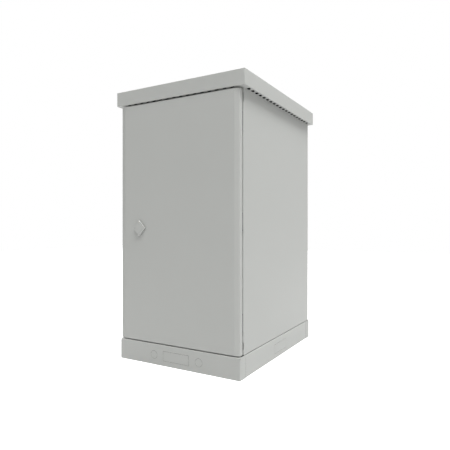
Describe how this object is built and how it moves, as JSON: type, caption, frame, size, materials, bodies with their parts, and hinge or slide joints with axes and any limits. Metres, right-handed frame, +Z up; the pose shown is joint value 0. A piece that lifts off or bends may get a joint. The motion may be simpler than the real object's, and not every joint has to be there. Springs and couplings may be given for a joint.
{
  "type": "rack cabinet",
  "caption": "Floor-standing outdoor rack cabinet with a hinged front door, swivelling lock cover, rod latch, plinth and overhanging vented roof.",
  "frame": {"origin": "centre of the plinth's footprint, on the floor, where the anchor pattern is centred", "axes": "+X to the right seen from the front, +Y from the door to the rear, +Z up"},
  "size_m": [0.65, 0.795, 1.1981],
  "materials": {
    "powder_coat": "fine-textured light grey powder coat",
    "painted_fittings": "smooth light grey paint on castings",
    "zinc_steel": "zinc-plated steel",
    "bright_steel": "bright turned steel",
    "dark_steel": "dark passivated steel on the hinges",
    "rubber": "matt black cellular rubber",
    "slider_plastic": "black moulded plastic"
  },
  "bodies": {
    "cabinet": {"cable_grommets": "rubber", "earth_stud": "zinc_steel", "floor_bolts": "zinc_steel", "floor_pan": "powder_coat", "front_header": "powder_coat", "front_left_rack_rail": "zinc_steel", "front_right_rack_rail": "zinc_steel", "front_sill": "powder_coat", "front_vent_strip": "powder_coat", "gland_plate": "zinc_steel", "left_side_panel": "powder_coat", "left_vent_strip": "powder_coat", "lower_hinge_body_leaf": "dark_steel", "lower_hinge_pin": "dark_steel", "lower_left_strut": "zinc_steel", "lower_right_strut": "zinc_steel", "middle_hinge_body_leaf": "dark_steel", "middle_hinge_pin": "dark_steel", "plinth_bolts": "zinc_steel", "plinth_front_panel": "powder_coat", "plinth_left_panel": "powder_coat", "plinth_rear_panel": "powder_coat", "plinth_right_panel": "powder_coat", "rail_bolts": "zinc_steel", "rear_gasket": "rubber", "rear_left_rack_rail": "zinc_steel", "rear_panel": "powder_coat", "rear_right_rack_rail": "zinc_steel", "right_side_panel": "powder_coat", "right_vent_strip": "powder_coat", "roof_bolts": "zinc_steel", "roof_canopy": "powder_coat", "roof_spacers": "zinc_steel", "top_plate": "powder_coat", "upper_hinge_body_leaf": "dark_steel", "upper_hinge_pin": "dark_steel", "upper_left_strut": "zinc_steel", "upper_right_strut": "zinc_steel"},
    "door": {"cover_rivet": "bright_steel", "door_panel": "powder_coat", "door_seal": "rubber", "lock_housing": "painted_fittings", "lock_nut": "zinc_steel", "lower_door_stiffener": "powder_coat", "lower_hinge_door_leaf": "dark_steel", "lower_rod_bracket": "zinc_steel", "lower_rod_slider": "slider_plastic", "middle_hinge_door_leaf": "dark_steel", "upper_door_stiffener": "powder_coat", "upper_hinge_door_leaf": "dark_steel", "upper_rod_bracket": "zinc_steel", "upper_rod_slider": "slider_plastic"},
    "lock": {"lock_cam": "zinc_steel", "lock_insert": "bright_steel"},
    "lock_cover": {"lock_cover": "painted_fittings"},
    "upper_rod": {"upper_lock_rod": "zinc_steel"},
    "lower_rod": {"lower_lock_rod": "zinc_steel"}
  },
  "joints": [
    {"name": "door_hinge", "type": "hinge", "parent": "cabinet", "child": "door", "pos_m": [0.297, -0.362, 0.608], "axis": [0, 0, 1], "range_deg": [0, 115]},
    {"name": "lock_turn", "type": "hinge", "parent": "door", "child": "lock", "pos_m": [-0.192, -0.38, 0.583], "axis": [0, -1, 0], "range_deg": [0, 90]},
    {"name": "lock_cover_swing", "type": "hinge", "parent": "door", "child": "lock_cover", "pos_m": [-0.192, -0.397, 0.61], "axis": [0, -1, 0], "range_deg": [-110, 110]},
    {"name": "upper_rod_slide", "type": "slide", "parent": "door", "child": "upper_rod", "axis": [0, 0, 1], "range_m": [0, 0.018]},
    {"name": "lower_rod_slide", "type": "slide", "parent": "door", "child": "lower_rod", "axis": [0, 0, -1], "range_m": [0, 0.018]}
  ],
  "couplings": [
    {"joint": "lock_turn", "follows": "upper_rod_slide", "rad_per_m": 87.266},
    {"joint": "lower_rod_slide", "follows": "upper_rod_slide", "ratio": 1}
  ]
}
